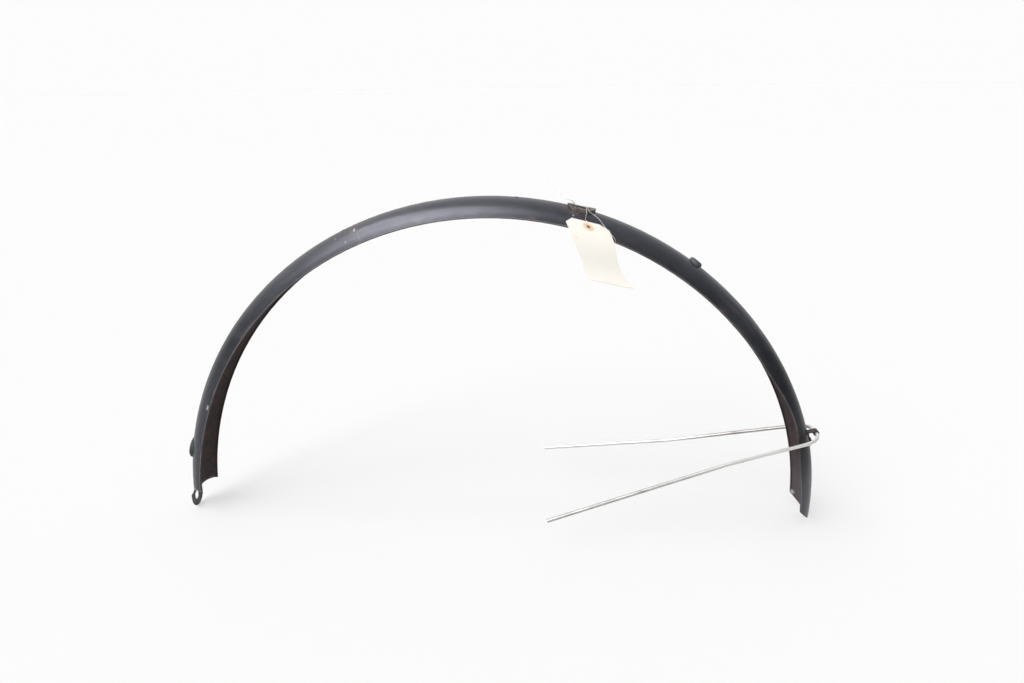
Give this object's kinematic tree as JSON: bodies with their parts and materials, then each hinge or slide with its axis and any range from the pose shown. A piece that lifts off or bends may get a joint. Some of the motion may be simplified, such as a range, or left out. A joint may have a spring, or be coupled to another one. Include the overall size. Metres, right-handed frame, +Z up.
{
  "type": "bicycle mudguard",
  "caption": "Half-round steel rear bicycle mudguard blade with flat front tab, riveted wire stay, lamp collar, plugs and a tied blank card tag.",
  "frame": {"origin": "centre of the wheel that the guard covers: the centre of the arch's circle, on the axle line, midway across the guard", "axes": "+X towards the tail of the guard, which is the rear of the bicycle; +Y along the axle, across the guard; +Z up to the crown"},
  "size_m": [0.7281, 0.2083, 0.3974],
  "materials": {
    "black_paint": "satin",
    "rubber": "matte",
    "worn_black": "worn matte",
    "zinc_wire": "dull zinc",
    "card": "matte",
    "ring_paper": "matte",
    "tie_steel": "bright"
  },
  "bodies": {
    "root": {"guard_blade": "black_paint", "lamp_collar": "black_paint", "rubber_plug": "rubber", "blanking_plug": "rubber", "stay_clip": "worn_black", "clip_rivet": "worn_black", "wire_stay": "zinc_wire", "tag_card": "card", "tag_rings": "ring_paper", "tie_wire": "tie_steel"}
  },
  "joints": []
}
